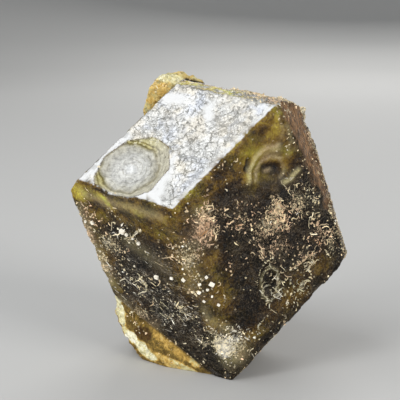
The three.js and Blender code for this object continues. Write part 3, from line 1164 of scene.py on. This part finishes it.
# group: colour of the crust, the same for the crust on the skin and for the loose flakes
def crustColourGroup():
    group, entry, leave = newGroup(
        "crustColour",
        [("Position", "Vector"), ("Tone", "Float"), ("Green", "Float"), ("Shade", "Float")],
        [("Colour", "Color"), ("Height", "Float")],
    )
    grain = noise(group, entry["Position"], 5.0, 4.0, 0.65)
    tone = calc(group, "MULTIPLY_ADD", calc(group, "SUBTRACT", grain, 0.5), 0.5, entry["Tone"])
    colour = ramp(group, tone, skin["crust"])
    colour = mixColour(group, calc(group, "MULTIPLY", entry["Green"], 0.75), colour, skin["greenCrust"])
    shade = calc(group, "MULTIPLY", entry["Shade"], calc(group, "MULTIPLY_ADD", grain, 0.9, 0.55))
    colour = mixColour(group, 1.0, colour, shade, "MULTIPLY")
    group.links.new(colour, leave["Colour"])
    group.links.new(noise(group, entry["Position"], 9.0, 3.0), leave["Height"])
    return group


# group: etched marks of the frosted top, thin curved lines, fine net and blotches
def frostMarksGroup():
    group, entry, leave = newGroup(
        "frostMarks",
        [("Position", "Vector"), ("Plain", "Float")],
        [("Marks", "Float"), ("Cloud", "Float")],
    )
    position = entry["Position"]
    wide = cells(group, bent(group, position, 1.1, 1.3), 0.8, feature="DISTANCE_TO_EDGE").outputs["Distance"]
    net = cells(group, bent(group, position, 2.2, 0.7), 1.9, feature="DISTANCE_TO_EDGE").outputs["Distance"]
    gathered = over(group, noise(group, position, 0.34, 3.0, 0.6), 0.49, 7)
    broken = over(group, noise(group, position, 0.9, 2.0), 0.49, 9)
    wideLine = calc(group, "MULTIPLY", over(group, 0.055, wide, 24), broken)
    netLine = calc(group, "MULTIPLY", over(group, 0.06, net, 18), calc(group, "MULTIPLY", gathered, 0.62))
    blotch = over(group, noise(group, position, 1.9, 5.0, 0.75), 0.6, 14)
    blotch = calc(group, "MULTIPLY", blotch, 0.8)
    marks = calc(group, "MAXIMUM", calc(group, "MAXIMUM", wideLine, netLine), blotch)
    marks = calc(group, "MULTIPLY", marks, calc(group, "SUBTRACT", 1.0, entry["Plain"]))
    group.links.new(marks, leave["Marks"])
    group.links.new(gathered, leave["Cloud"])
    return group


# skin: the glass from its dark depth to its thin edges, lit there by painted through-light, the crust on it,
# the frosted top, its pale colour partly painted reflection
skin = {
    # painted through-light: black where the glass is thick, olive to yellow as more light is painted in
    "glass": [
        (0.0, (0.003, 0.002, 0.0015)),
        (0.22, (0.022, 0.011, 0.003)),
        (0.45, (0.12, 0.068, 0.009)),
        (0.68, (0.27, 0.195, 0.024)),
        (0.95, (0.52, 0.45, 0.06)),
    ],
    "crust": [
        (0.0, (0.88, 0.85, 0.78)),
        (0.35, (0.80, 0.68, 0.42)),
        (0.7, (0.68, 0.46, 0.30)),
        (1.0, (0.42, 0.22, 0.08)),
    ],
    "greener": (0.84, 1.02, 0.85),
    "greenCrust": (0.42, 0.42, 0.27),
    # pale top face: partly the etched frost's own colour, partly painted reflection of the overhead lamp; the
    # plain colour is painted glare on its smooth parts
    "frost": (0.50, 0.50, 0.485),
    "frostPlainGlare": (0.43, 0.435, 0.44),
    "frostWarm": (0.49, 0.45, 0.37),
    "frostBlue": (0.40, 0.44, 0.53),
    "frostMark": (0.13, 0.13, 0.115),
    "hollow": [
        (0.0, (0.50, 0.51, 0.51)),
        (0.1, (0.50, 0.51, 0.51)),
        (0.22, (0.40, 0.40, 0.385)),
        (0.3, (0.43, 0.43, 0.41)),
        (0.5, (0.34, 0.34, 0.32)),
        (0.7, (0.38, 0.37, 0.32)),
        (0.82, (0.24, 0.22, 0.15)),
        (0.88, (0.42, 0.40, 0.32)),
    ],
    "hollowOlive": [
        (0.76, (0.30, 0.28, 0.17)),
        (0.81, (0.10, 0.08, 0.015)),
        (0.86, (0.42, 0.38, 0.18)),
        (0.9, (0.14, 0.11, 0.02)),
        (0.95, (0.40, 0.37, 0.2)),
    ],
    # painted shade along the terrace steps of the top hollow
    "hollowStepShade": (0.16, 0.15, 0.11),
    "rock": [
        (0.0, (0.05, 0.022, 0.008)),
        (0.25, (0.15, 0.10, 0.025)),
        (0.45, (0.42, 0.262, 0.062)),
        (0.55, (0.58, 0.40, 0.13)),
        (0.65, (0.48, 0.41, 0.18)),
        (0.85, (0.66, 0.62, 0.38)),
        (1.0, (0.84, 0.82, 0.70)),
    ],
    "shoulder": (0.22, 0.125, 0.062),
    "veil": (0.42, 0.37, 0.19),
    "veilBrown": (0.36, 0.255, 0.15),
    "dust": (0.15, 0.12, 0.08),
    "dustAmount": 0.42,
    "streak": (0.5, 0.45, 0.37),
    "bump": 0.12 * mm,
    "flakeBump": 0.06 * mm,
}
crustPattern = crustPatternGroup()
crustColour = crustColourGroup()
frostMarks = frostMarksGroup()


def useGroup(tree, group, **values):
    made = node(tree, "ShaderNodeGroup", node_tree=group)
    for name, value in values.items():
        feed(tree, made.inputs[name], value)
    return made.outputs


def hollowColour(tree, place):
    # rings of the top hollow: grey white steps with painted shade lines where they drop, olive towards the
    # far rim
    shift = calc(tree, "SUBTRACT", noise(tree, place, 0.5, 3.0), 0.5)
    ring = calc(tree, "MULTIPLY_ADD", shift, 0.22, mask(tree, "hollowRing"))
    grey, olive = ramp(tree, ring, skin["hollow"]), ramp(tree, ring, skin["hollowOlive"])
    pit = mixColour(tree, mask(tree, "hollowFar"), grey, olive)
    pit = mixColour(tree, over(tree, ring, 0.76, 14), grey, pit)
    # painted shade: dark lines where the terrace steps drop
    turns = calc(tree, "MULTIPLY", calc(tree, "POWER", ring, 0.8), 8.0)
    step = calc(tree, "ABSOLUTE", calc(tree, "SUBTRACT", calc(tree, "FRACT", turns), 0.5))
    broken = over(tree, noise(tree, place, 0.5, 2.0), 0.52, 7)
    stepShade = calc(tree, "MULTIPLY", over(tree, 0.08, step, 9), broken)
    stepShade = calc(tree, "MULTIPLY", stepShade, over(tree, ring, 0.2, 20))
    pit = mixColour(tree, calc(tree, "MULTIPLY", stepShade, 0.6), pit, skin["hollowStepShade"])
    mottle = ramp(tree, noise(tree, place, 1.6, 5.0, 0.7), [(0.3, 0.5), (0.6, 1.12)])
    return mixColour(tree, 1.0, pit, mottle, "MULTIPLY")


def frostedTop(tree, place):
    # etched face and the stepped hollow in it: colour, dark marks. Its pale colour is partly the etched
    # frost's own and partly painted reflection of the overhead lamp
    plainGlare = mask(tree, "plainGlare")
    etched = useGroup(tree, frostMarks, Position=place, Plain=plainGlare)
    etchedPart = calc(tree, "SUBTRACT", 1.0, plainGlare)
    warm = over(tree, noise(tree, bent(tree, place, 0.5, 2.0), 0.3, 3.0), 0.53, 6)
    warm = calc(tree, "MULTIPLY", warm, etchedPart)
    blue = over(tree, noise(tree, bent(tree, place, 0.4, 3.0), 0.21, 2.0), 0.58, 8)
    blue = calc(tree, "MULTIPLY", blue, etchedPart)
    white = mixColour(tree, calc(tree, "MULTIPLY", warm, 0.8), skin["frost"], skin["frostWarm"])
    white = mixColour(tree, calc(tree, "MULTIPLY", blue, 0.7), white, skin["frostBlue"])
    white = mixColour(tree, calc(tree, "MULTIPLY", plainGlare, 0.9), white, skin["frostPlainGlare"])
    cloud = ramp(tree, noise(tree, place, 0.7, 5.0, 0.65), [(0.34, 0.5), (0.52, 1.0)])
    cloud = mixColour(tree, plainGlare, cloud, (1.0, 1.0, 1.0))
    top = mixColour(tree, 1.0, white, cloud, "MULTIPLY")
    top = mixColour(tree, calc(tree, "MULTIPLY", etched["Marks"], 0.7), top, skin["frostMark"])
    pit, hollow = hollowColour(tree, place), mask(tree, "hollow")
    marks = calc(tree, "MAXIMUM", etched["Marks"], calc(tree, "MULTIPLY", hollow, 0.55))
    return mixColour(tree, hollow, top, pit), marks


def glassColour(tree, place):
    # nearly black in its depth and olive where painted through-light lifts its thin parts, with veils, a
    # brown shoulder and dust
    drift = calc(tree, "SUBTRACT", noise(tree, place, 0.45, 6.0, 0.65, 0.5), 0.5)
    marble = calc(tree, "SUBTRACT", noise(tree, place, 0.8, 6.0, 0.7, 2.6), 0.5)
    fine = calc(tree, "SUBTRACT", noise(tree, place, 3.0, 4.0, 0.7), 0.5)
    paintedThroughLight = calc(tree, "MULTIPLY_ADD", drift, 0.7, mask(tree, "paintedThroughLight"))
    rough = calc(tree, "MULTIPLY_ADD", mask(tree, "clear"), -0.6, 1.0)
    paintedThroughLight = calc(tree, "MULTIPLY_ADD", calc(tree, "MULTIPLY", marble, rough), 1.0, paintedThroughLight)
    paintedThroughLight = calc(tree, "MULTIPLY_ADD", calc(tree, "MULTIPLY", fine, rough), 0.6, paintedThroughLight)
    glass = ramp(tree, paintedThroughLight, skin["glass"])
    green = over(tree, noise(tree, bent(tree, place, 0.4, 1.5), 0.3, 3.0), 0.53, 7)
    glass = mixColour(tree, green, glass, mixColour(tree, 1.0, glass, skin["greener"], "MULTIPLY"))
    cloudy = calc(tree, "MULTIPLY_ADD", fine, 3.0, 1.0)
    cloudy = calc(tree, "MULTIPLY", mask(tree, "veil"), cloudy, clamp=True)
    veil = mixColour(tree, over(tree, mask(tree, "crustTone"), 0.45, 3), skin["veil"], skin["veilBrown"])
    glass = mixColour(tree, cloudy, glass, veil)
    glass = mixColour(tree, mask(tree, "shoulder"), glass, shoulderColour(tree, place))
    dust = over(tree, noise(tree, place, 4.2, 5.0, 0.8), calc(tree, "MULTIPLY_ADD", drift, -0.35, 0.56), 12)
    dust = calc(tree, "MULTIPLY", calc(tree, "MULTIPLY", dust, rough), skin["dustAmount"])
    return mixColour(tree, dust, glass, skin["dust"])


def shoulderColour(tree, place):
    # brown with upright streaks
    upright = node(tree, "ShaderNodeMapping")
    upright.inputs["Scale"].default_value = (1.0, 1.0, 0.22)
    tree.links.new(bent(tree, place, 0.4, 0.8), upright.inputs["Vector"])
    brown = noise(tree, upright.outputs[0], 2.1, 5.0, 0.75)
    brown = ramp(tree, brown, [(0.36, 0.12), (0.5, 0.8), (0.64, 1.9)])
    return mixColour(tree, 1.0, skin["shoulder"], brown, "MULTIPLY")


def crustOnSkin(tree, place):
    # colour, where it lies and how high it stands
    pattern = useGroup(tree, crustPattern, Position=place, Cover=mask(tree, "crust"))
    tone = calc(tree, "ADD", mask(tree, "crustTone"), calc(tree, "MULTIPLY_ADD", pattern["Tone"], 0.5, -0.25))
    shade = ramp(tree, pattern["Tone"], [(0.25, 0.25), (0.62, 1.0)])
    pale = useGroup(tree, crustColour, Position=place, Tone=tone, Green=mask(tree, "crustGreen"), Shade=shade)
    return pale["Colour"], pattern["Mask"], pattern["Height"]


def thinStreaks(tree, place):
    # pale lines along the striations of the front left face
    stretch = node(tree, "ShaderNodeMapping")
    stretch.inputs["Rotation"].default_value = streakTurn()
    stretch.inputs["Scale"].default_value = (0.14, 1.0, 1.0)
    tree.links.new(place, stretch.inputs["Vector"])
    lines = noise(tree, stretch.outputs[0], 2.3, 3.0, 0.6)
    thin = over(tree, 0.012, calc(tree, "ABSOLUTE", calc(tree, "SUBTRACT", lines, 0.52)), 70)
    thin = calc(tree, "MULTIPLY", thin, over(tree, noise(tree, place, 0.8, 2.0), 0.5, 8))
    return calc(tree, "MULTIPLY", thin, mask(tree, "streaks"))


def stoneColour(tree, place):
    # the rock at the foot and the little grain on top
    mottle = calc(tree, "SUBTRACT", noise(tree, place, 1.0, 6.0, 0.72, 1.2), 0.5)
    stone = ramp(tree, calc(tree, "MULTIPLY_ADD", mottle, 1.0, mask(tree, "rockTone")), skin["rock"])
    dirt = ramp(tree, noise(tree, place, 2.0, 5.0, 0.7), [(0.36, 0.35), (0.5, 1.0)])
    return mixColour(tree, 0.75, stone, dirt, "MULTIPLY")


def makeSkin():
    material, tree, shader = newMaterial("garnetSkin")
    place = millimetres(tree)
    pale, crusted, height = crustOnSkin(tree, place)
    colour = mixColour(tree, crusted, glassColour(tree, place), pale)
    colour = mixColour(tree, thinStreaks(tree, place), colour, skin["streak"])
    frost = mask(tree, "frost")
    top, marks = frostedTop(tree, place)
    colour = mixColour(tree, frost, colour, top)
    lump = calc(tree, "MAXIMUM", mask(tree, "rock"), mask(tree, "grain"))
    colour = mixColour(tree, lump, colour, stoneColour(tree, place))
    tree.links.new(colour, shader.inputs["Base Color"])
    frostMarked = calc(tree, "MULTIPLY", marks, frost)
    matte = calc(tree, "MAXIMUM", crusted, lump)
    matte = calc(tree, "MAXIMUM", matte, calc(tree, "MULTIPLY", frostMarked, 0.6))
    roughness = calc(tree, "MULTIPLY_ADD", matte, 0.65, 0.2)
    tree.links.new(roughness, shader.inputs["Roughness"])
    flatter = calc(tree, "MULTIPLY_ADD", frost, -0.8, 1.0)
    relief = calc(tree, "MULTIPLY", noise(tree, place, 3.2, 5.0, 0.65), flatter)
    relief = calc(tree, "ADD", relief, height)
    relief = calc(tree, "ADD", relief, calc(tree, "MULTIPLY", frostMarked, -0.8))
    addBump(tree, shader, relief, skin["bump"])
    shader.inputs["IOR"].default_value = 1.5
    shader.inputs["Specular IOR Level"].default_value = 0.14
    shader.inputs["Coat IOR"].default_value = 1.6
    shader.inputs["Coat Roughness"].default_value = 0.08
    glaze = calc(tree, "MULTIPLY", calc(tree, "MULTIPLY", frost, 0.5), calc(tree, "SUBTRACT", 1.0, marks))
    tree.links.new(glaze, shader.inputs["Coat Weight"])
    return material


def streakTurn():
    # turns the position so that its X runs along the striations of the front left face
    along, up, n = faceAxes("frontLeft")
    turn = math.radians(body["striationTurn"])
    line = along * math.cos(turn) + up * math.sin(turn)
    axes = Matrix((line, np.cross(n, line), n))
    return axes.to_euler()


def makeCrustMaterial():
    material, tree, shader = newMaterial("paleCrust")
    place = millimetres(tree)
    tone, green, shade = (mask(tree, name) for name in ("crustTone", "crustGreen", "shade"))
    pale = useGroup(tree, crustColour, Position=place, Tone=tone, Green=green, Shade=shade)
    tree.links.new(pale["Colour"], shader.inputs["Base Color"])
    shader.inputs["Roughness"].default_value = 0.6
    shader.inputs["IOR"].default_value = 1.45
    addBump(tree, shader, pale["Height"], skin["flakeBump"])
    return material


paleCrust = makeCrustMaterial()
for piece in crustPieces:
    piece.data.materials.append(paleCrust)
garnet.data.materials.append(makeSkin())
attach(garnet, "root")
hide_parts("garnet_crystal")
print("skin done")


# stage: a pale floor that curves up all round, and soft lamps
stage = {
    "flatRadius": 0.7,
    "rimRadius": 1.3,
    "rimHeight": 0.5,
    "sides": 96,
    "floorColour": (0.42, 0.42, 0.415),
    "worldColour": (0.92, 0.96, 1.0),
    "worldStrength": 0.26,
}
lamps = {
    "overhead": {
        "towards": (-0.48, -0.17, 0.86),
        "distance": 0.42,
        "size": 0.21,
        "radiance": 6.0,
        "colour": (0.96, 0.98, 1.0),
    },
    "left": {
        "towards": (-0.85, -0.55, 0.25),
        "distance": 0.8,
        "size": 0.34,
        "radiance": 14.0,
        "colour": (1.0, 0.99, 0.96),
    },
    "right": {
        "towards": (0.8, -0.6, 0.35),
        "distance": 0.8,
        "size": 0.34,
        "radiance": 13.0,
        "colour": (1.0, 0.98, 0.95),
    },
    "behind": {
        "towards": (0.25, 1.0, 0.55),
        "distance": 0.9,
        "size": 0.5,
        "radiance": 5.0,
        "colour": (1.0, 0.99, 0.97),
    },
    "front": {
        "towards": (-0.1, -1.0, 0.3),
        "distance": 0.95,
        "size": 0.5,
        "radiance": 2.6,
        "colour": (1.0, 1.0, 1.0),
    },
}


def makeFloor():
    rings = [(stage["flatRadius"], 0.0)]
    for step in range(1, 9):
        t = step / 8
        radius = stage["flatRadius"] + (stage["rimRadius"] - stage["flatRadius"]) * math.sin(t * math.pi / 2)
        rings.append((radius, stage["rimHeight"] * (1 - math.cos(t * math.pi / 2))))
    points = [(0, 0, 0)]
    faces = []
    sides = stage["sides"]
    for ring, (radius, height) in enumerate(rings):
        for k in range(sides):
            a = 2 * math.pi * k / sides
            points.append((radius * math.cos(a), radius * math.sin(a), height))
            m = (k + 1) % sides
            if ring == 0:
                faces.append((0, 1 + k, 1 + m))
            else:
                low, high = 1 + (ring - 1) * sides, 1 + ring * sides
                faces.append((low + k, high + k, high + m, low + m))
    mesh = bpy.data.meshes.new("floor")
    mesh.from_pydata(points, [], faces)
    mesh.polygons.foreach_set("use_smooth", np.ones(len(mesh.polygons), bool))
    floor = newObject("floor", mesh)
    material, _, shader = newMaterial("paleFloor")
    shader.inputs["Base Color"].default_value = (*stage["floorColour"], 1)
    shader.inputs["Roughness"].default_value = 0.8
    mesh.materials.append(material)


def makeLamp(name, settings):
    data = bpy.data.lights.new(name, "AREA")
    data.size = settings["size"]
    data.energy = settings["radiance"] * math.pi * settings["size"] ** 2
    data.color = settings["colour"]
    lamp = newObject(name, data)
    away = Vector(settings["towards"]).normalized()
    target = Vector(facePoint("top", (-2.0, 4.0)) + crystal["centre"]) * mm
    lamp.location = target + away * settings["distance"]
    lamp.rotation_euler = away.to_track_quat("Z", "Y").to_euler()


def makeWorld():
    world = bpy.data.worlds.new("studio")
    world.use_nodes = True
    background = world.node_tree.nodes["Background"]
    background.inputs["Color"].default_value = (*stage["worldColour"], 1)
    background.inputs["Strength"].default_value = stage["worldStrength"]
    bpy.context.scene.world = world


makeFloor()
makeWorld()
for lampName, lampSettings in lamps.items():
    makeLamp(lampName, lampSettings)
bpy.context.scene.view_settings.view_transform = "Standard"
print("stage done")
